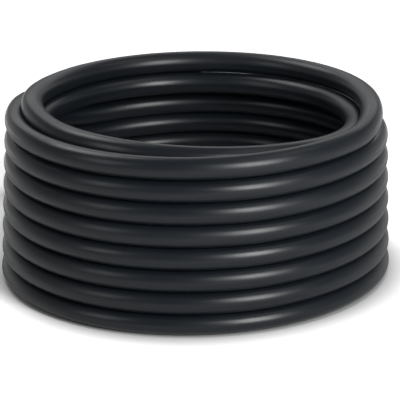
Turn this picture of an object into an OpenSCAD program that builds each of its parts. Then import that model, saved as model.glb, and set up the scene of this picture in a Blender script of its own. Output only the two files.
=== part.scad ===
// Coiled soaker hose with a swivel inlet coupling and a capped far end.
// Millimetres. +Z is up, the coil stands on z = 0, and the inlet points along +Y.

/* [Hose] */
// Outside diameter of the hose
hose_od = 16; // [14:0.5:18]
// Thickness of the hose's wall
hose_wall = 1.65; // [1.4:0.05:2.5]

/* [Coil] */
// Loops in the wall of the coil
wall_loops = 8; // [4:1:12]
// Radius of the wall at half its height, to the middle of the hose
coil_r = 131; // [115:1:160]
// How far each loop beds into the one below it
loop_bed = 0.2; // [0:0.05:0.5]
// Radius of the bottom loop less that of the top loop
coil_taper = 4; // [0:0.2:5]
// How far the top loop sits to the right of the bottom loop
coil_lean = 2.6; // [0:0.2:5]
// Angle over which a loop steps up onto the one below it
step_angle = 50; // [45:1:55]

/* [Hose ends] */
// Straight run of hose from the bottom loop before it rises to the inlet
tail_run = 50; // [45:1:70]
// Length over which the tail rises to the height of the inlet
tail_rise_run = 50; // [45:1:70]
// Straight, bored length of hose at each end
end_len = 42; // [38:1:60]
// Gap between the swivel nut and the floor
floor_gap = 0.5; // [0.3:0.1:3]

/* [Couplings] */
// Mean diameter of the hose thread on the nut, the cap and the outlet
thread_d = 26.5; // [26:0.1:28]
// Length of the thread
thread_len = 12; // [10:0.5:14]
// Thickness of the swivel nut and the end cap round the thread
grip_wall = 2.75; // [2.5:0.05:3.5]
// Finger flutes round the nut and round the cap
flutes = 12; // [8:1:16]
// Depth of a finger flute
flute_depth = 0.9; // [0.4:0.1:1]
// Thickness of a stem's tail, from the crests of its barbs to its bore
stem_wall = 1.6; // [1.2:0.05:2.5]
// Length of the barbed tail of a stem inside the hose
barb_len = 26; // [18:1:30]
// Barbs on each stem
barbs = 4; // [3:1:5]
// How far the shoulder at the hose's end stands out beyond the crimp sleeve
collar_lip = 0.4; // [0.2:0.1:1]
// Thickness of the shoulders, the swivel flange and the back wall of the nut
wall_t = 2.4; // [2:0.1:3]
// Thickness of the metal crimp sleeves
sleeve_t = 1.1; // [0.8:0.1:1.2]
// Length of the crimp sleeves
sleeve_len = 22; // [18:1:26]
// Rolled crimp grooves in each sleeve
crimps = 3; // [2:1:4]
// Thickness of the inlet washer
washer_t = 3; // [2:0.1:3.5]
// Hole through the inlet washer
washer_hole = 16; // [14:0.5:18]
// Thickness of the cap's sealing washer
cap_washer_t = 2.5; // [2:0.1:3]
// Thickness of the flow disc
disc_t = 1.5; // [1:0.1:2]
// Metering hole in the flow disc
disc_hole = 3; // [2:0.1:4]

/* [Fits] */
// Running gap on the radius between the turning pieces
run_gap = 0.08; // [0.05:0.01:0.1]
// Gap between pieces that are pushed into one another
seat_gap = 0.05; // [0.03:0.01:0.1]
// End play of the swivel nut on its stem
end_play = 0.3; // [0.2:0.05:0.5]

/* [Hidden] */
$fn = 96;

SIDES = 6;
RINGS_PER_LOOP = 24;
ring_step = 360 / RINGS_PER_LOOP;

hose_bore = hose_od - 2 * hose_wall;
stem_bore = hose_bore - 2 * seat_gap - 2 * stem_wall;
grip_od = thread_d + 2 * grip_wall;

// The hose stands on a flat, a tenth of its diameter deep, along the bottom loop.
rest_cut = hose_od / 10;
bottom_z = hose_od / 2 - rest_cut;
loop_rise = hose_od - loop_bed;
top_level = wall_loops - 1;
// The hose enters the coil at the left, and the steps end just before it.
START_ANGLE = 180;
STEP_END_ANGLE = 172;
inlet_z = grip_od / 2 + floor_gap;

// Route of the last loop, one station every STATION_ANGLE degrees, from a station
// before the right side of the top loop. Each is [inset, rise] from the top loop
// of the wall, in hose diameters. It lies inside the wall's edge at the back, rides
// over the top loop at the left, drops inside at the front, goes round once more
// below itself and ends clear of the inner face.
STATION_ANGLE = 30;
LAST_LOOP = [
    [0, 0], [0.27, 0.23], [0.4, 0.23], [0.54, 0.23], [0.69, 0.27], [0.83, 0.36], [0.87, 0.48],
    [0.75, 0.61], [0.88, 0.41], [1, 0.31], [1.04, 0.14], [1.02, -0.11], [0.93, -0.42],
    [0.93, -0.62], [0.94, -0.71], [0.97, -0.77], [0.97, -0.73], [0.98, -0.61], [1, -0.49],
    [1.04, -0.4], [1.25, -0.9], [1.9, -1.4], [3.2, -1.9]
];
right_side = 360 * wall_loops - START_ANGLE;
last_start = right_side - STATION_ANGLE;
last_end = last_start + STATION_ANGLE * (len(LAST_LOOP) - 1);

function clamp01(t) = max(0, min(1, t));
function ease(t) = let (s = clamp01(t)) s * s * (3 - 2 * s);
function unit(v) = v / norm(v);

// Height of the wall in loops at a degrees of winding.
function level(a) =
    let (k = min(floor(a / 360), top_level), azimuth = a - 360 * k + START_ANGLE - 360)
    k + (k < top_level ? ease((azimuth - STEP_END_ANGLE + step_angle) / step_angle) : 0);

// A smooth curve through four stations, for t from 0 to 1 between the middle two.
function spline(p, t) =
    0.5 * (2 * p[1] + (p[2] - p[0]) * t + (2 * p[0] - 5 * p[1] + 4 * p[2] - p[3]) * t * t
           + (3 * p[1] - p[0] - 3 * p[2] + p[3]) * t * t * t);
function station(i) = LAST_LOOP[max(0, min(len(LAST_LOOP) - 1, i))];
function last_offset(a) =
    let (s = (a - last_start) / STATION_ANGLE, i = floor(s))
    s <= 0 ? [0, 0] : hose_od * spline([for (j = [-1 : 2]) station(i + j)], s - i);

function coil_point(a) =
    let (h = level(a), offset = last_offset(a), share = h / top_level - 0.5,
         r = coil_r - coil_taper * share - offset[0], azimuth = START_ANGLE + a)
    [r * cos(azimuth) + coil_lean * share, r * sin(azimuth),
     bottom_z + loop_rise * h + offset[1]];

// The tail runs back from the first point of the coil, along +Y, and rises.
function tail_point(t) =
    coil_point(0) + [0, t, (inlet_z - bottom_z) * ease((t - tail_run) / tail_rise_run)];
tail_len = tail_run + tail_rise_run + hose_od;
TAIL_STEP = 10;

// The far end runs straight on from the last station.
far_start = coil_point(last_end);
far_dir = unit(far_start - coil_point(last_end - 1));
coil_route = concat(
    [tail_point(tail_len)],
    [for (t = [tail_run + tail_rise_run : -TAIL_STEP : TAIL_STEP]) tail_point(t)],
    [for (a = [0 : ring_step : last_end]) coil_point(a)],
    [far_start + hose_od * far_dir]);
rings = len(coil_route);

// Direction of the hose at each ring: level across, so a ring never twists.
function ring_dir(i) = unit(coil_route[min(i + 1, rings - 1)] - coil_route[max(i - 1, 0)]);
function end_dir(i) = i == 0 ? [0, -1, 0] : i >= rings - 2 ? far_dir : ring_dir(i);
function ring(i, n, r) =
    let (dir = end_dir(i), side = unit(cross(dir, [0, 0, 1])), up = cross(side, dir))
    [for (j = [0 : n - 1])
        let (p = coil_route[i] + r * (cos(360 * j / n) * side + sin(360 * j / n) * up))
        [p[0], p[1], max(p[2], 0)]];

RING_LIST = [for (i = [0 : rings - 1]) ring(i, SIDES, hose_od / 2)];

// Least gap of the hose to itself, from the corners of each ring to the edges of
// the rings that lie beside it half a loop or more away along the hose.
function edge_gap(p, a, b) =
    let (ab = b - a, t = clamp01((p - a) * ab / (ab * ab)))
    norm(p - a - t * ab);
function ring_gap(m, n) =
    min([for (p = m, j = [0 : SIDES - 1]) edge_gap(p, n[j], n[(j + 1) % SIDES])]);
function near(i, j) = norm(coil_route[i] - coil_route[j]) < 1.5 * hose_od;
GAPS = [for (i = [0 : rings - 1], j = [i + RINGS_PER_LOOP / 2 : rings - 1])
            if (near(i, j)) min(ring_gap(RING_LIST[i], RING_LIST[j]),
                                ring_gap(RING_LIST[j], RING_LIST[i]))];
echo(least_gap_of_hose_to_itself = min(GAPS));

function run_len(i) = i == 0 ? 0 : norm(coil_route[i] - coil_route[i - 1]) + run_len(i - 1);
echo(hose_length = run_len(rings - 1) + 2 * end_len);

// Couplings, measured along their own axis from the cut end of the hose outward.
sleeve_bore = hose_od + 2 * seat_gap;
collar_d = sleeve_bore + 2 * sleeve_t + 2 * collar_lip;
nut_back = wall_t + end_play;
seat_back = nut_back + wall_t;
flange_back = seat_back + end_play;
disc_back = flange_back + wall_t + seat_gap;
washer_back = disc_back + disc_t;
thread_back = washer_back + washer_t;
nut_front = thread_back + thread_len;
neck_d = stem_bore + 2 * wall_t;
// The washer's seat is cut wider than the thread, which holds the washer in.
SEAT_STEP = 0.5;
seat_d = thread_d + 2 * SEAT_STEP;
flange_d = thread_d - 2 * SEAT_STEP;
outlet_back = 2 * wall_t;
outlet_front = outlet_back + thread_len;
cap_seat = outlet_front + seat_gap;
cap_roof = cap_seat + cap_washer_t + seat_gap;
cap_front = cap_roof + wall_t;
// Rounding of the rims of the nut and the cap, and the radius of a flute.
RIM = 1.5;
FLUTE_R = 3;
stop_d = grip_od - 2 * RIM;
// Depth of a barb, its flat crest, and the smooth nose below the first barb.
BARB_DEPTH = 0.6;
BARB_CREST = 1;
NOSE = 3;
// Cutting tools reach this far past the faces that they cut.
OVER = 1;

// The whole part is moved so that its box is centred on x = 0 and y = 0.
inlet_end = coil_route[0] + [0, end_len, 0];
far_end = coil_route[rings - 1] + end_len * far_dir;
all_x = concat([for (r = RING_LIST, p = r) p[0]], [inlet_end[0] - grip_od / 2]);
all_y = concat([for (r = RING_LIST, p = r) p[1]], [inlet_end[1] + nut_front]);
centre = [(min(all_x) + max(all_x)) / 2, (min(all_y) + max(all_y)) / 2, 0];

module at_inlet() {
    translate(inlet_end - centre) rotate([-90, 0, 0]) children();
}

module at_outlet() {
    translate(far_end - centre)
        rotate([0, acos(far_dir[2]), atan2(far_dir[1], far_dir[0])]) children();
}

module tube(od, id, from, to) {
    translate([0, 0, from]) difference() {
        cylinder(d = od, h = to - from);
        translate([0, 0, -OVER]) cylinder(d = id, h = to - from + 2 * OVER);
    }
}

// One unbroken run of hose: the tail, the wall of the coil and the last loop.
module hose_coil() {
    n = SIDES;
    faces = concat(
        [for (i = [0 : rings - 2], j = [0 : n - 1]) [i * n + j, i * n + (j + 1) % n, (i + 1) * n + j]],
        [for (i = [0 : rings - 2], j = [0 : n - 1])
            [i * n + (j + 1) % n, (i + 1) * n + (j + 1) % n, (i + 1) * n + j]],
        [for (j = [1 : n - 2]) [0, j + 1, j]],
        [for (j = [1 : n - 2]) [(rings - 1) * n, (rings - 1) * n + j, (rings - 1) * n + j + 1]]);
    color([0.09, 0.1, 0.11]) translate(-centre)
        polyhedron(points = [for (r = RING_LIST, p = r) p], faces = faces);
}

module hose_end() {
    color([0.09, 0.1, 0.11]) tube(hose_od, hose_bore, -end_len, 0);
}

module hose_inlet_end() { at_inlet() hose_end(); }

module hose_outlet_end() { at_outlet() hose_end(); }

// Crimp sleeve: a rolled tube with grooves that grip the hose over the barbs.
module sleeve() {
    r = sleeve_bore / 2;
    pitch = sleeve_len / (crimps + 1);
    color([0.62, 0.6, 0.52]) rotate_extrude() difference() {
        translate([r, -sleeve_len]) square([sleeve_t, sleeve_len]);
        for (i = [1 : crimps])
            translate([r + 2 * sleeve_t, i * pitch - sleeve_len]) circle(r = 1.4 * sleeve_t);
    }
}

module inlet_sleeve() { at_inlet() sleeve(); }

module outlet_sleeve() { at_outlet() sleeve(); }

// Barbed tail: saw teeth that point out of the hose, with a rounded nose.
module barb_profile() {
    r = hose_bore / 2 - seat_gap;
    root = r - BARB_DEPTH;
    pitch = (barb_len - NOSE - BARB_CREST) / barbs;
    polygon(concat(
        [[stem_bore / 2, 0], [stem_bore / 2, -barb_len], [root, -barb_len]],
        [for (i = [barbs : -1 : 1], q = [[root, -i * pitch - BARB_CREST],
                                         [r, -(i - 1) * pitch - 2 * BARB_CREST],
                                         [r, -(i - 1) * pitch - BARB_CREST]]) q],
        [[root, -BARB_CREST], [root, 0]]));
}

// Half section of a ring round the stem's bore.
module ring_profile(od, from, to) {
    translate([stem_bore / 2, from]) square([(od - stem_bore) / 2, to - from]);
}

module inlet_stem() {
    color([0.16, 0.16, 0.17]) at_inlet() rotate_extrude() {
        barb_profile();
        ring_profile(collar_d, 0, wall_t);
        ring_profile(neck_d, 0, flange_back + wall_t);
        ring_profile(flange_d, flange_back, flange_back + wall_t);
    }
}

module outlet_stem() {
    color([0.16, 0.16, 0.17]) at_outlet() rotate_extrude() {
        barb_profile();
        ring_profile(collar_d, 0, wall_t);
        ring_profile(stop_d, wall_t, outlet_back);
        ring_profile(thread_d, outlet_back, outlet_front);
    }
}

// Outside of the nut and the cap: a turned body with finger flutes all round.
module grip(from, to) {
    r = grip_od / 2;
    difference() {
        rotate_extrude() {
            translate([0, from]) square([r - RIM, to - from]);
            translate([0, from + RIM]) square([r, to - from - 2 * RIM]);
            for (z = [from + RIM, to - RIM]) translate([r - RIM, z]) circle(r = RIM);
        }
        for (i = [0 : flutes - 1]) rotate(360 * i / flutes)
            translate([r + FLUTE_R - flute_depth, 0, from - OVER])
                cylinder(r = FLUTE_R, h = to - from + 2 * OVER);
    }
}

module swivel_nut() {
    color([0.2, 0.2, 0.21]) at_inlet() difference() {
        grip(nut_back, nut_front);
        translate([0, 0, nut_back - OVER])
            cylinder(d = neck_d + 2 * run_gap, h = wall_t + 2 * OVER);
        translate([0, 0, seat_back]) cylinder(d = seat_d, h = thread_back - seat_back);
        translate([0, 0, thread_back - OVER])
            cylinder(d = thread_d + 2 * run_gap, h = thread_len + 2 * OVER);
    }
}

module flow_disc() {
    color([0.12, 0.42, 0.22]) at_inlet()
        tube(seat_d - 2 * seat_gap, disc_hole, disc_back, washer_back);
}

module inlet_washer() {
    color([0.1, 0.1, 0.1]) at_inlet()
        tube(seat_d - 2 * seat_gap, washer_hole, washer_back, thread_back);
}

module cap_washer() {
    color([0.1, 0.1, 0.1]) at_outlet()
        tube(thread_d, washer_hole, cap_seat, cap_seat + cap_washer_t);
}

module end_cap() {
    color([0.2, 0.2, 0.21]) at_outlet() difference() {
        grip(outlet_back + end_play, cap_front);
        translate([0, 0, outlet_back])
            cylinder(d = thread_d + 2 * run_gap, h = cap_roof - outlet_back);
    }
}

hose_coil();
hose_inlet_end();
hose_outlet_end();
inlet_sleeve();
inlet_stem();
swivel_nut();
flow_disc();
inlet_washer();
outlet_sleeve();
outlet_stem();
cap_washer();
end_cap();
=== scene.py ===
import math
import bpy
import numpy as np
from mathutils import Matrix, Vector


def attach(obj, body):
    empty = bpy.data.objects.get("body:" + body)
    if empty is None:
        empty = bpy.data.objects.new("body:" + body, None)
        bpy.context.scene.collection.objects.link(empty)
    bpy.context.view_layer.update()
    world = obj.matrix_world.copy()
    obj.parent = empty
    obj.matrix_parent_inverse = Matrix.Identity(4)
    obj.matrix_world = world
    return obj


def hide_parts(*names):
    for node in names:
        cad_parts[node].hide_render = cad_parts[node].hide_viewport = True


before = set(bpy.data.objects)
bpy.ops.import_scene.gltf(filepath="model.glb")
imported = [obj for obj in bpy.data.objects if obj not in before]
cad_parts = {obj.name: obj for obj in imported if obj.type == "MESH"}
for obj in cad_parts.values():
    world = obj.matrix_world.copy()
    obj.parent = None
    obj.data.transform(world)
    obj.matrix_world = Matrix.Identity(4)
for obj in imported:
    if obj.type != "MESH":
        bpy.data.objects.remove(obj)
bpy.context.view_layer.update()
mm = 0.001
print("frame: solids loaded")


cameraView = {
    "target": (8.16, -20.7, 50.5),  # mm, the point it looks at
    "distance": 1792.0,             # mm
    "elevation": 19.0,              # degrees above the horizon
    "roll": -1.105,                 # degrees; level lines rise a little to the right
    "lens": 222.4, "sensor": 36,    # mm
    "clip": (0.1, 20),              # m
}


# The camera looks along +Y and down by its elevation, and rolls about that line.
def makeCamera(view):
    e, g = math.radians(view["elevation"]), math.radians(view["roll"])
    forward = Vector((0, math.cos(e), -math.sin(e)))
    level = Vector((1, 0, 0))
    over = level.cross(forward)
    right = math.cos(g) * level + math.sin(g) * over
    up = math.cos(g) * over - math.sin(g) * level
    data = bpy.data.cameras.new("camera")
    data.lens, data.sensor_width = view["lens"], view["sensor"]
    data.clip_start, data.clip_end = view["clip"]
    camera = bpy.data.objects.new("camera", data)
    place = Vector(view["target"]) * mm - forward * view["distance"] * mm
    turn = Matrix((right, up, -forward)).transposed().to_4x4()
    camera.matrix_world = Matrix.Translation(place) @ turn
    bpy.context.scene.collection.objects.link(camera)
    bpy.context.scene.camera = camera


makeCamera(cameraView)
print("camera: placed")


# A smooth-shaded mesh; vectors are kept on its points by name, for the material.
def addMesh(name, points, faces, vectors=()):
    mesh = bpy.data.meshes.new(name)
    mesh.from_pydata(points.tolist(), [], faces)
    for key, values in vectors:
        layer = mesh.attributes.new(key, "FLOAT_VECTOR", "POINT")
        layer.data.foreach_set("vector", np.asarray(values, np.float32).ravel())
    mesh.shade_smooth()
    mesh.update()
    piece = bpy.data.objects.new(name, mesh)
    bpy.context.scene.collection.objects.link(piece)
    return piece


# Faces between neighbouring rings of n points, each ring running clockwise seen along the
# rows. Each end gets a fan to a pole, and the two poles come after the rings.
def ringFaces(rows, n):
    i = np.arange(rows - 1)[:, None]
    j = np.arange(n)
    k, nextJ = i + 1, (j + 1) % n
    faces = np.stack([i * n + nextJ, i * n + j, k * n + j, k * n + nextJ], -1)
    faces = faces.reshape(-1, 4).tolist()
    first, end = rows * n, (rows - 1) * n
    faces += np.stack([j, nextJ, np.full(n, first)], -1).tolist()
    faces += np.stack([end + nextJ, end + j, np.full(n, first + 1)], -1).tolist()
    return faces


# Route of the hose, in the coil's own frame: mm and degrees.
hose = {
    "od": 16.0, "bore": 12.7, "wallLoops": 8, "coilR": 131.0,
    "bed": 0.2,              # how far each loop beds into the one below it
    "flatten": 0.6,          # share of the bed by which the tube itself flattens
    "bottom": 0.4,           # height of the lowest loop's middle, in hose diameters
    "taper": 4.0,            # how much less the top loop's radius is than the bottom one's
    "lean": 2.6,             # how far the top loop lies to +X of the bottom one
    "stepAngle": 50.0,       # angle over which the wall climbs from one loop to the next
    "stepEnd": 172.0,        # azimuth where that climb ends
    "start": 180.0,          # azimuth where the bottom loop starts
    "tailRun": 50.0,         # how far the inlet's tail runs level before it climbs
    "tailRise": 50.0,        # length over which it climbs
    "inletZ": 16.5,          # height of its end
    "endLen": 42.0,          # length of the bored end at each coupling
    "axis": (5.3, -20.675),  # where the coil's axis stands in the part
    "station": 30.0,         # angle from one station of the last loop to the next
    "lastLoop": [            # [inset, rise] from the top loop, in hose diameters
        [0, 0], [0.27, 0.23], [0.4, 0.23], [0.54, 0.23], [0.69, 0.27], [0.83, 0.36],
        [0.87, 0.48], [0.75, 0.61], [0.88, 0.41], [1, 0.31], [1.04, 0.14], [1.02, -0.11],
        [0.93, -0.4], [0.93, -0.56], [0.94, -0.62], [0.96, -0.68], [0.96, -0.685],
        [0.98, -0.6], [1, -0.49], [1.04, -0.4], [1.25, -0.9], [1.9, -1.4], [3.2, -1.9]],
    # of the mesh: points round it, degrees and mm between rings, rings of the far run and
    # of each bore
    "sides": 40, "ringStep": 2.0, "straightStep": 4.0, "farRings": 15, "boreRings": 9,
}
od = hose["od"]
topLevel = hose["wallLoops"] - 1
rightSide = 360 * hose["wallLoops"] - hose["start"]
lastStart = rightSide - hose["station"]
lastEnd = lastStart + hose["station"] * (len(hose["lastLoop"]) - 1)
bottomZ = hose["bottom"] * od


# Eased share from 0 to 1: three times t squared, less twice t cubed.
def ease(t):
    t = np.clip(t, 0, 1)
    return t * t * (3 - 2 * t)


# Height of the wall in loops: a whole number, plus an eased step before the left side.
def level(a):
    k = np.minimum(np.floor(a / 360), topLevel)
    azimuth = a - 360 * k + hose["start"] - 360
    step = ease((azimuth - hose["stepEnd"] + hose["stepAngle"]) / hose["stepAngle"])
    return k + np.where(k < topLevel, step, 0)


# A smooth curve through the stations: each span blends the four nearest of them.
def lastOffset(a):
    p = np.array(hose["lastLoop"], float)
    s = np.maximum((a - lastStart) / hose["station"], 0)
    i = np.floor(s).astype(int)
    u = (s - i)[:, None]
    p0, p1, p2, p3 = (p[np.clip(i + k, 0, len(p) - 1)] for k in (-1, 0, 1, 2))
    curve = 0.5 * (2 * p1 + (p2 - p0) * u + (2 * p0 - 5 * p1 + 4 * p2 - p3) * u * u
                   + (3 * p1 - p0 - 3 * p2 + p3) * u ** 3)
    return curve * od * (s > 0)[:, None]


# A circle whose radius, lean and height follow the level, less the station's inset and
# plus its rise.
def coilPoints(a):
    a = np.atleast_1d(np.asarray(a, float))
    h, offset = level(a), lastOffset(a)
    share = h / topLevel - 0.5
    r = hose["coilR"] - hose["taper"] * share - offset[:, 0]
    turn = np.radians(hose["start"] + a)
    return np.stack([r * np.cos(turn) + hose["lean"] * share, r * np.sin(turn),
                     bottomZ + (od - hose["bed"]) * h + offset[:, 1]], 1)


# Each vector over its own length.
def unit(v):
    return v / np.linalg.norm(v, axis=-1, keepdims=True)


# The inlet's tail leaves the bottom loop along +Y and rises by an eased step to the
# coupling; the far run goes straight on from the last loop.
first = coilPoints(0)[0]
last = coilPoints(lastEnd)[0]
farDir = unit(last - coilPoints(lastEnd - 1)[0])
toPart = np.array([*hose["axis"], 0])
tailLen = hose["tailRun"] + hose["tailRise"] + od
tail = np.arange(tailLen + hose["endLen"], 0, -hose["straightStep"])
climb = (hose["inletZ"] - bottomZ) * ease((tail - hose["tailRun"]) / hose["tailRise"])
tailPoints = first + np.stack([0 * tail, tail, climb], 1)
farRun = np.linspace(0, od + hose["endLen"], hose["farRings"] + 1)[1:, None]
coilAngles = np.arange(0, lastEnd + hose["ringStep"] / 2, hose["ringStep"])
centreLine = toPart + np.concatenate([
    tailPoints, coilPoints(coilAngles), last + farRun * farDir])
inletEnd, outletEnd = centreLine[0], centreLine[-1]


# The hose: a round tube along the centre line, open a little way in at both ends.
# point = line + radius * (cos angle * side + flattened sin angle * up), for each ring
def makeHose():
    n, r, deep = hose["sides"], od / 2, hose["boreRings"]
    # the rings come out of one bore, run along the whole outside and go into the other bore
    order = np.concatenate([np.arange(deep, -1, -1), np.arange(len(centreLine)),
                            len(centreLine) - 1 - np.arange(deep + 1)])
    radius = np.full((len(order), 1), r)
    radius[:deep + 1] = radius[-deep - 1:] = hose["bore"] / 2
    along = np.gradient(centreLine, axis=0)
    along[0], along[-1] = centreLine[1] - centreLine[0], farDir
    along, line = unit(along)[order], centreLine[order]
    side = unit(np.cross(along, [0, 0, 1.0]))
    up = np.cross(side, along)
    angle = np.arange(n) * 2 * np.pi / n
    # the loops bed on one another, and the lowest settles on the floor under their weight
    height = radius * np.sin(angle) * (1 - hose["flatten"] * hose["bed"] / od)
    down = np.where(radius == r, np.minimum(1, line[:, 2:] / r), 1)
    height = np.where(height < 0, height * down, height)
    across = radius * np.cos(angle)
    points = line[:, None] + across[..., None] * side[:, None] + height[..., None] * up[:, None]
    steps = np.linalg.norm(np.diff(centreLine, axis=0), axis=1)
    travel = np.concatenate([[0], np.cumsum(steps)])[order, None]
    own = np.stack(np.broadcast_arrays(across, radius * np.sin(angle), travel), -1)
    points = np.concatenate([points.reshape(-1, 3), line[[0, -1]]]) * mm
    poles = [[0, 0, travel[0, 0]], [0, 0, travel[-1, 0]]]
    own = np.concatenate([own.reshape(-1, 3), poles]) * mm
    return addMesh("hose", points, ringFaces(len(order), n), [("hoseSpace", own)])


hosePiece = makeHose()
print("hose: %d faces" % len(hosePiece.data.polygons))


# A socket of a material, with arithmetic: numbers and sockets mix freely.
class Wire:
    def __init__(self, shader, socket):
        self.shader, self.socket = shader, socket

    def math(self, operation, a, b):
        return self.shader.node("ShaderNodeMath", {"operation": operation}, {0: a, 1: b})

    def __add__(self, other): return self.math("ADD", self, other)
    def __radd__(self, other): return self.math("ADD", other, self)
    def __sub__(self, other): return self.math("SUBTRACT", self, other)
    def __rsub__(self, other): return self.math("SUBTRACT", other, self)
    def __mul__(self, other): return self.math("MULTIPLY", self, other)
    def __rmul__(self, other): return self.math("MULTIPLY", other, self)
    def __pow__(self, other): return self.math("POWER", self, other)


# A material or world being drawn: node() adds one node, sets it and links what it is given.
class Finish:
    def __init__(self, name, kind="materials"):
        self.owner = getattr(bpy.data, kind).new(name)
        self.owner.use_nodes = True
        self.tree = self.owner.node_tree
        self.tree.nodes.clear()

    def node(self, kind, settings, inputs, output=0):
        made = self.tree.nodes.new(kind)
        for key, value in settings.items():
            setattr(made, key, value)
        for key, value in inputs.items():
            if isinstance(value, Wire):
                self.tree.links.new(value.socket, made.inputs[key])
            else:
                made.inputs[key].default_value = value
        return Wire(self, made.outputs[output]) if made.outputs else None

    def surface(self, colour, roughness, normal, metallic=0.0):
        shader = self.node("ShaderNodeBsdfPrincipled", {}, {
            "Base Color": colour, "Roughness": roughness, "Normal": normal,
            "Metallic": metallic})
        self.node("ShaderNodeOutputMaterial", {}, {"Surface": shader})
        return self.owner

    def space(self, name=None):  # the object's own coordinates, or a vector kept on the points
        if name:
            return self.node("ShaderNodeAttribute", {"attribute_name": name}, {}, "Vector")
        return self.node("ShaderNodeTexCoord", {}, {}, "Object")

    def vector(self, operation, a, b, output=0):
        return self.node("ShaderNodeVectorMath", {"operation": operation}, {0: a, 1: b}, output)

    # Noise over a place: a pattern holds its scale per metre, its detail, and how much the
    # place is stretched first.
    def noise(self, where, pattern):
        if "stretch" in pattern:
            where = self.vector("MULTIPLY", where, pattern["stretch"])
        return self.node("ShaderNodeTexNoise", {}, {
            "Vector": where, "Scale": pattern["scale"], "Detail": pattern["detail"]})

    # Place on a turned piece, from its coupling's origin and axis: distance along the axis,
    # distance out from it, and the angle round it by the right hand.
    def turned(self, coupling):
        axis = Vector(coupling["axis"])
        side = axis.cross(Vector((0, 0, 1))).normalized()
        where = self.vector("SUBTRACT", self.space(), coupling["origin"])
        along, x, y = (self.vector("DOT_PRODUCT", where, way, "Value")
                       for way in (axis, side, axis.cross(side)))
        angle = self.node("ShaderNodeMath", {"operation": "ARCTAN2"}, {0: y, 1: x})
        return along, (x * x + y * y) ** 0.5, angle

    # The three numbers of a turned place, each times its own factor, as one vector.
    def unrolled(self, place, factors):
        return self.node("ShaderNodeCombineXYZ", {}, {
            i: part * factor for i, (part, factor) in enumerate(zip(place, factors))})

    def spread(self, value, low, high, toLow=0.0, toHigh=1.0):
        return self.node("ShaderNodeMapRange", {}, {
            "Value": value, "From Min": low, "From Max": high,
            "To Min": toLow, "To Max": toHigh})

    def blend(self, share, a, b):
        return self.node("ShaderNodeMix", {"data_type": "RGBA"}, {0: share, 6: a, 7: b}, 2)

    # A normal raised by a height; the pattern holds its relief in metres and its strength.
    def bump(self, height, pattern, under=None):
        inputs = {"Height": height, "Distance": pattern["relief"],
                  "Strength": pattern["strength"]}
        if under:
            inputs["Normal"] = under
        return self.node("ShaderNodeBump", {}, inputs)


# In each finish, a From pair holds the two values of a pattern between which a mask or the
# roughness changes, and share is a pattern's part where two are mixed.
hoseFinish = {
    "colour": (0.0090, 0.0122, 0.0165, 1), "dusty": (0.0150, 0.0185, 0.0235, 1),
    "dustFrom": (0.5, 0.75), "dustShare": 0.5,
    "roughness": (0.28, 0.38), "roughFrom": (0.35, 0.65),
    "lines": {"stretch": (1, 1, 0.012), "scale": 900, "detail": 2, "share": 0.3,
              "relief": 0.00004, "strength": 0.5},  # drawn out along the hose
    "patches": {"stretch": (1, 1, 0.25), "scale": 60, "detail": 4, "share": 0.7},
    "grain": {"scale": 2600, "detail": 3, "relief": 0.00003, "strength": 0.35},
    "dents": {"stretch": (0.6, 0.6, 0.35), "scale": 45, "detail": 1,
              "relief": 0.0006, "strength": 0.5},
}


# Satin rubber: fine drawn lines and grain, shallow dents, and dust in patches.
def hoseMaterial(v):
    f = Finish("hoseRubber")
    where = f.space("hoseSpace")
    lines, patches, grain, dents = (
        f.noise(where, v[part]) for part in ("lines", "patches", "grain", "dents"))
    dust = f.spread(patches, *v["dustFrom"])
    normal = f.bump(grain, v["grain"])
    normal = f.bump(lines, v["lines"], normal)
    normal = f.bump(dents, v["dents"], normal)
    wear = patches * v["patches"]["share"] + lines * v["lines"]["share"]
    return f.surface(f.blend(dust * v["dustShare"], v["colour"], v["dusty"]),
                     f.spread(wear, *v["roughFrom"], *v["roughness"]), normal)


hosePiece.data.materials.append(hoseMaterial(hoseFinish))
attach(hosePiece, "hose")
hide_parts("hose_coil", "hose_inlet_end", "hose_outlet_end")
print("hose: finished")

# The fittings are the CAD's own solids, each with its finish. The two couplings are measured
# in metres from the cut end of the hose outward, each along its own axis.
inlet = {"origin": inletEnd * mm, "axis": (0, 1, 0)}
outlet = {"origin": outletEnd * mm, "axis": tuple(farDir)}
thread = {
    "pitch": 25.4 / 11.5, "meanR": 13.25,  # mm
    "nut": (12.35, 24.35), "stem": (4.8, 16.8), "cap": (5.4, 19.4),  # mm along the coupling
    "endFade": (0.5, 0.9), "wallFade": (0.15, 0.35),  # mm in from its ends, and off meanR
    "flank": (-0.7, 0.7),  # the values of the wave between foot and crest
    "relief": 0.0005, "strength": 1,
}


# Height of a right-hand thread, 0 to 1, as a wave along the axis that turns once in a pitch.
# It fades out past its two ends and away from its radius.
def threadHeight(f, place, reach):
    along, out, angle = place
    turned = along * (2 * math.pi / (thread["pitch"] * mm)) - angle
    wave = f.node("ShaderNodeMath", {"operation": "COSINE"}, {0: turned})
    bare, full = thread["endFade"]
    near, far = thread["wallFade"]
    low, high, r = *reach, thread["meanR"]
    ends = f.spread(along, (low + bare) * mm, (low + full) * mm) * f.spread(
        along, (high - bare) * mm, (high - full) * mm)
    skin = f.spread(out, (r - far) * mm, (r - near) * mm) * f.spread(
        out, (r + far) * mm, (r + near) * mm)
    return f.spread(wave, *thread["flank"]) * ends * skin


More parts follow.
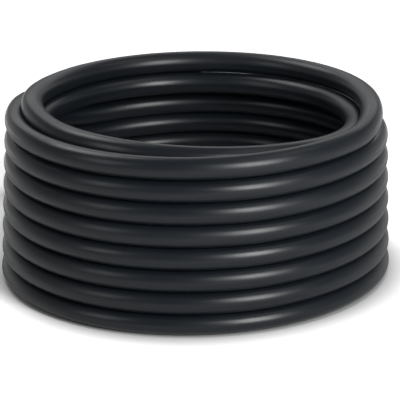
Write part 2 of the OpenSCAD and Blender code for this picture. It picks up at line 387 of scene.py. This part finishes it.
sleeveFinish = {
    "colour": (0.56, 0.55, 0.52, 1), "grime": (0.17, 0.165, 0.155, 1),
    "grimeFrom": (0.35, 0.65), "grimeTo": (0.25, 1), "grimeRough": 0.3,
    "sunkR": (9.14, 8.72),  # mm, from the skin down to the foot of a crimp
    "sunkGrime": 0.8, "skinGrime": 0.12,
    "roughness": (0.24, 0.42), "roughFrom": (0.35, 0.65),
    "ringStretch": (3500, 600, 0.6),
    "rings": {"scale": 1, "detail": 3, "share": 0.6, "relief": 0.00003, "strength": 0.6},
    "patches": {"scale": 320, "detail": 4, "share": 0.4, "relief": 0.0002, "strength": 0.15},
}


# Rolled metal: fine rings round the sleeve, worn patches, and grime kept in the crimps.
def sleeveMetal(name, coupling, v):
    f = Finish(name)
    place = f.turned(coupling)
    rings = f.noise(f.unrolled(place, v["ringStretch"]), v["rings"])
    patches = f.noise(f.space(), v["patches"])
    sunk = f.spread(place[1], *(r * mm for r in v["sunkR"]))
    grime = f.spread(patches, *v["grimeFrom"], *v["grimeTo"]) * (
        sunk * v["sunkGrime"] + v["skinGrime"])
    normal = f.bump(patches, v["patches"])
    normal = f.bump(rings, v["rings"], normal)
    wear = rings * v["rings"]["share"] + patches * v["patches"]["share"]
    rough = f.spread(wear, *v["roughFrom"], *v["roughness"]) + grime * v["grimeRough"]
    return f.surface(f.blend(grime, v["colour"], v["grime"]), rough, normal, metallic=1.0)


gripFinish = {
    "colour": (0.030, 0.031, 0.034, 1), "worn": (0.085, 0.086, 0.09, 1),
    "wearR": (15.35, 16.0),  # mm from the axis, where rubbing starts and where it is full
    "wornFrom": (0.42, 0.62), "wornShare": 0.55,
    "roughness": (0.42, 0.6), "roughFrom": (0.3, 0.7),
    "patches": {"scale": 260, "detail": 4},
    "cells": {"scale": 2300, "smoothness": 0.6, "share": 0.8},
    "fine": {"scale": 5200, "detail": 2, "share": 0.2},
    "leather": {"relief": 0.00008, "strength": 0.45},
}


# Moulded grip: leathery grain outside, and edges between the flutes rubbed paler. Where a
# reach is given, its bore has a thread there.
def gripPlastic(name, coupling, v, reach=None):
    f = Finish(name)
    place = f.turned(coupling)
    cells = f.node("ShaderNodeTexVoronoi", {"feature": "SMOOTH_F1"}, {
        "Vector": f.space(), "Scale": v["cells"]["scale"],
        "Smoothness": v["cells"]["smoothness"]})
    fine, patches = f.noise(f.space(), v["fine"]), f.noise(f.space(), v["patches"])
    worn = f.spread(place[1], *(r * mm for r in v["wearR"])) * f.spread(
        patches, *v["wornFrom"])
    leather = cells * v["cells"]["share"] + fine * v["fine"]["share"]
    normal = f.bump(leather, v["leather"])
    if reach:
        normal = f.bump(threadHeight(f, place, reach), thread, normal)
    return f.surface(f.blend(worn * v["wornShare"], v["colour"], v["worn"]),
                     f.spread(patches, *v["roughFrom"], *v["roughness"]), normal)


stemFinish = {
    "colour": (0.020, 0.020, 0.022, 1), "pale": (0.045, 0.045, 0.048, 1),
    "paleFrom": (0.5, 0.8), "paleShare": 0.6,
    "roughness": (0.26, 0.40), "roughFrom": (0.3, 0.7),
    "flowStretch": (500, 900, 1.5), "flow": {"scale": 1, "detail": 4},
    "grain": {"scale": 3800, "detail": 2, "relief": 0.00004, "strength": 0.4},
}


# Moulded stem: smoother and darker than the grips, with faint flow marks round it.
def stemPlastic(name, coupling, v):
    f = Finish(name)
    flow = f.noise(f.unrolled(f.turned(coupling), v["flowStretch"]), v["flow"])
    grain = f.noise(f.space(), v["grain"])
    pale = f.spread(flow, *v["paleFrom"]) * v["paleShare"]
    return f.surface(f.blend(pale, v["colour"], v["pale"]),
                     f.spread(flow, *v["roughFrom"], *v["roughness"]),
                     f.bump(grain, v["grain"]))


discFinish = {
    "colour": (0.022, 0.120, 0.050, 1), "pale": (0.045, 0.190, 0.085, 1),
    "paleFrom": (0.45, 0.75), "paleShare": 0.5,
    "roughness": (0.35, 0.5), "roughFrom": (0.3, 0.7),
    "patches": {"scale": 420, "detail": 4},
    "grain": {"scale": 2500, "detail": 3, "relief": 0.00005, "strength": 0.5},
}
washerFinish = discFinish | {
    "colour": (0.016, 0.016, 0.017, 1), "pale": (0.050, 0.050, 0.052, 1),
    "roughness": (0.68, 0.88),
    "grain": {"scale": 4200, "detail": 3, "relief": 0.00012, "strength": 0.5},
}


# Disc and washers: fine grain all over, with paler rubbed or dusted patches.
def grainFinish(name, v):
    f = Finish(name)
    grain, patches = f.noise(f.space(), v["grain"]), f.noise(f.space(), v["patches"])
    pale = f.spread(patches, *v["paleFrom"]) * v["paleShare"]
    return f.surface(f.blend(pale, v["colour"], v["pale"]),
                     f.spread(patches, *v["roughFrom"], *v["roughness"]),
                     f.bump(grain, v["grain"]))


nutGrip = gripPlastic("nutGrip", inlet, gripFinish)
outletPlastic = stemPlastic("outletStemPlastic", outlet, stemFinish)
washerRubber = grainFinish("washerRubber", washerFinish)
fittings = {
    "inlet_sleeve": sleeveMetal("inletSleeveMetal", inlet, sleeveFinish),
    "inlet_stem": stemPlastic("inletStemPlastic", inlet, stemFinish),
    "swivel_nut": nutGrip,
    "flow_disc": grainFinish("discPlastic", discFinish),
    "inlet_washer": washerRubber,
    "outlet_sleeve": sleeveMetal("outletSleeveMetal", outlet, sleeveFinish),
    "outlet_stem": outletPlastic,
    "cap_washer": washerRubber,
    "end_cap": gripPlastic("capGrip", outlet, gripFinish, thread["cap"]),
}
for node, material in fittings.items():
    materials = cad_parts[node].data.materials
    materials.clear()
    materials.append(material)
print("fittings: finishes on %d solids" % len(fittings))


# Threads: a ridge wound round the nut's bore, and one round the outlet's stem.
ridge = {
    "sunk": 0.05,                # mm that its foot lies in the wall
    "foot": 1.5, "crest": 0.5,   # mm, how wide it is at the foot and at the crest
    "inset": 0.9,                # mm that its middle keeps from both ends of its reach
    "fade": 0.35, "end": 0.04,   # turns over which it grows, and its least share
    "stepsPerTurn": 72,
}
ridges = {
    "nutThread": {"coupling": inlet, "reach": thread["nut"], "wallR": 13.33, "crestR": 12.78,
                  "finish": nutGrip, "body": "nut", "slot": "grip"},
    "stemThread": {"coupling": outlet, "reach": thread["stem"], "wallR": thread["meanR"],
                   "crestR": 13.7, "finish": outletPlastic, "body": "hose", "slot": "stem"},
}


# radius = foot + (crest - foot) * fade at the crest; along = start + pitch * turns + the
# corner's own offset; both carried round the axis by the angle, by the right hand.
def makeRidge(name, v):
    low, high = v["reach"]
    turns = (high - low - 2 * ridge["inset"]) / thread["pitch"]
    t = np.linspace(0, turns, int(turns * ridge["stepsPerTurn"]))[:, None]
    fade = np.maximum(ease(t / ridge["fade"]) * ease((turns - t) / ridge["fade"]), ridge["end"])
    outward = 1 if v["crestR"] > v["wallR"] else -1
    foot = v["wallR"] - outward * ridge["sunk"]
    radius = foot + (v["crestR"] - foot) * np.array([0, 1, 1, 0]) * fade
    corner = np.array([-ridge["foot"], -ridge["crest"], ridge["crest"], ridge["foot"]]) / 2
    along = low + ridge["inset"] + thread["pitch"] * t + corner * outward * fade
    angle = 2 * np.pi * t
    axis = np.array(v["coupling"]["axis"], float)
    side = unit(np.cross(axis, [0, 0, 1]))
    parts = ((along, axis), (radius * np.cos(angle), side),
             (radius * np.sin(angle), np.cross(axis, side)))
    points = np.array(v["coupling"]["origin"]) / mm + sum(
        length[..., None] * way for length, way in parts)
    poles = points[[0, -1]].mean(1)
    piece = addMesh(name, np.concatenate([points.reshape(-1, 3), poles]) * mm,
                    ringFaces(len(t), len(corner)))
    piece.data.materials.append(v["finish"])
    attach(piece, v["body"])
    print("%s: %d faces" % (name, len(piece.data.polygons)))


for ridgeName, ridgeSizes in ridges.items():
    makeRidge(ridgeName, ridgeSizes)

# Floor, lamps and world: mm, degrees and watts.
studio = {
    "paper": (0.86, 0.86, 0.86, 1), "halfFloor": 6000,
    "seenPaper": (2.0, 2.0, 2.0, 1), "contact": (0.6, 0.6, 0.6, 1),
    "contactReach": 24, "contactFrom": (0.35, 0.95), "contactSamples": 12,
    "whiteFrom": (200, 500),  # how far back the floor turns white in mirrors
    "frontWall": 0.31, "backWall": 0.2, "ceiling": 0.13, "mirrored": 0.45,
    "wallTop": (9, 24),       # elevations over which the walls fade into the ceiling
    # how far a direction points back, 0 to 1: where front turns to back, and where the
    # corners behind the coil begin and end
    "backFrom": (0.3, 0.85), "cornerFrom": (0.3, 0.6), "cornerTo": (0.97, 0.85),
    "aim": (5, -20, 60),      # the coil's middle, where every lamp points
    "lamps": {                # azimuth to the right of the camera's side
        "key": {"azimuth": 34, "elevation": 26, "distance": 1600,
                "size": (540, 860), "power": 16.5},
        "left": {"azimuth": -58, "elevation": 30, "distance": 1600,
                 "size": (500, 800), "power": 1.8},
        "over": {"azimuth": -135, "elevation": 54, "distance": 1500,
                 "size": (750, 500), "power": 4.2},
        "right": {"azimuth": 88, "elevation": 62, "distance": 1500,
                  "size": (900, 600), "power": 1.2},
        "back": {"azimuth": 180, "elevation": 31, "distance": 1500,
                 "size": (1700, 660), "power": 2.9},
    },
}


# How much of the plain white background shows: all of it to the camera, and in mirrors and
# through glass the given share.
def whiteShare(f, backdrop):
    seen, mirrored, through = (f.node("ShaderNodeLightPath", {}, {}, "Is %s Ray" % ray)
                               for ray in ("Camera", "Glossy", "Transmission"))
    return seen + (mirrored + through) * backdrop


# Paper floor; the camera sees its open part as white, and a contact shadow round the coil.
def makeFloor(v):
    half = v["halfFloor"]
    corners = [[-half, -half, 0], [half, -half, 0], [half, half, 0], [-half, half, 0]]
    floor = addMesh("floor", np.array(corners, float) * mm, [[0, 1, 2, 3]])
    f = Finish("floorPaper")
    openness = f.node("ShaderNodeAmbientOcclusion", {"samples": v["contactSamples"]},
                      {"Distance": v["contactReach"] * mm}, "AO")
    bright = f.blend(f.spread(openness, *v["contactFrom"]), v["contact"], v["seenPaper"])
    seenPaper = f.node("ShaderNodeBsdfDiffuse", {}, {"Color": bright})
    paper = f.node("ShaderNodeBsdfDiffuse", {}, {"Color": v["paper"]})
    y = f.node("ShaderNodeSeparateXYZ", {}, {0: f.space()}, "Y")
    share = whiteShare(f, f.spread(y, *(place * mm for place in v["whiteFrom"])))
    f.node("ShaderNodeOutputMaterial", {}, {"Surface": f.node(
        "ShaderNodeMixShader", {}, {0: share, 1: paper, 2: seenPaper})})
    floor.data.materials.append(f.owner)


# An area lamp that looks at the aim; azimuth 0 is the camera's side.
def makeLamp(name, v, aim):
    a, e = math.radians(v["azimuth"]), math.radians(v["elevation"])
    way = Vector((math.sin(a) * math.cos(e), -math.cos(a) * math.cos(e), math.sin(e)))
    data = bpy.data.lights.new(name, "AREA")
    data.shape, data.energy = "RECTANGLE", v["power"]
    data.size, data.size_y = (length * mm for length in v["size"])
    lamp = bpy.data.objects.new(name, data)
    lamp.location = Vector(np.array(aim) * mm) + way * v["distance"] * mm
    lamp.rotation_euler = (-way).to_track_quat("-Z", "Y").to_euler()
    bpy.context.scene.collection.objects.link(lamp)


# White to the camera; as light, grey walls that fade into a dim ceiling, and in mirrors and
# through glass paler where they stand left and right behind the coil.
def makeWorld(v):
    f = Finish("studio", "worlds")
    way = f.node("ShaderNodeTexCoord", {}, {}, "Generated")
    behind, up = (f.node("ShaderNodeSeparateXYZ", {}, {0: way}, part) for part in "YZ")
    low, high = (math.sin(math.radians(e)) for e in v["wallTop"])
    walls = f.spread(behind, *v["backFrom"], v["frontWall"], v["backWall"])
    ceiling = f.spread(up, low, high)
    strength = walls * (1 - ceiling) + v["ceiling"] * ceiling
    lit, white = (f.node("ShaderNodeBackground", {}, {"Color": (1, 1, 1, 1), "Strength": s})
                  for s in (strength, 1))
    corners = f.spread(behind, *v["cornerFrom"]) * f.spread(behind, *v["cornerTo"])
    share = whiteShare(f, corners * (1 - ceiling) * v["mirrored"])
    f.node("ShaderNodeOutputWorld", {}, {"Surface": f.node(
        "ShaderNodeMixShader", {}, {0: share, 1: lit, 2: white})})
    bpy.context.scene.world = f.owner


makeFloor(studio)
for lampName, lampSizes in studio["lamps"].items():
    makeLamp(lampName, lampSizes, studio["aim"])
makeWorld(studio)
bpy.context.scene.view_settings.view_transform = "Standard"
print("studio: floor, lamps and world made")
